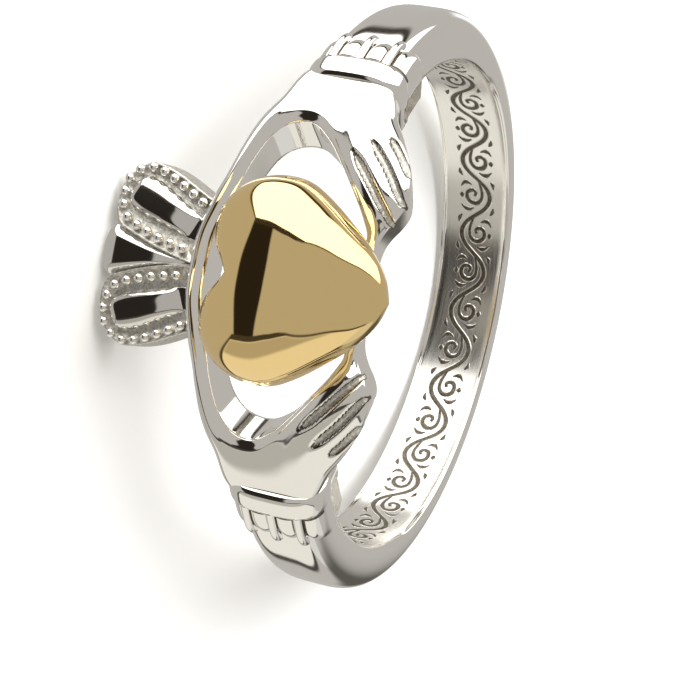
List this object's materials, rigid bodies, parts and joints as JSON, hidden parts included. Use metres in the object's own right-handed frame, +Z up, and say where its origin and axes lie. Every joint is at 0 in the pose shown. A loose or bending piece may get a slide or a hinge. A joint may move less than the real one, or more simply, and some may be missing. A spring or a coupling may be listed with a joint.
{
  "type": "claddagh ring",
  "caption": "Band ring whose two cuffed hands hold a puffed gold heart below a beaded crown, lying as it rests.",
  "frame": {"origin": "on the surface it lies on, under the centre of its bounding box", "axes": "+Z up; -Y towards the head with the heart; +X towards the right hand when seen from the head; the finger's axis tips 14.35 degrees from +Z towards +Y"},
  "size_m": [0.0204, 0.0218, 0.0098],
  "materials": {
    "silver": "polished sterling silver, matte in the recesses of the crown",
    "gold": "polished yellow gold"
  },
  "bodies": {
    "root": {"silver_ring": "silver", "gold_heart": "gold"}
  },
  "joints": []
}
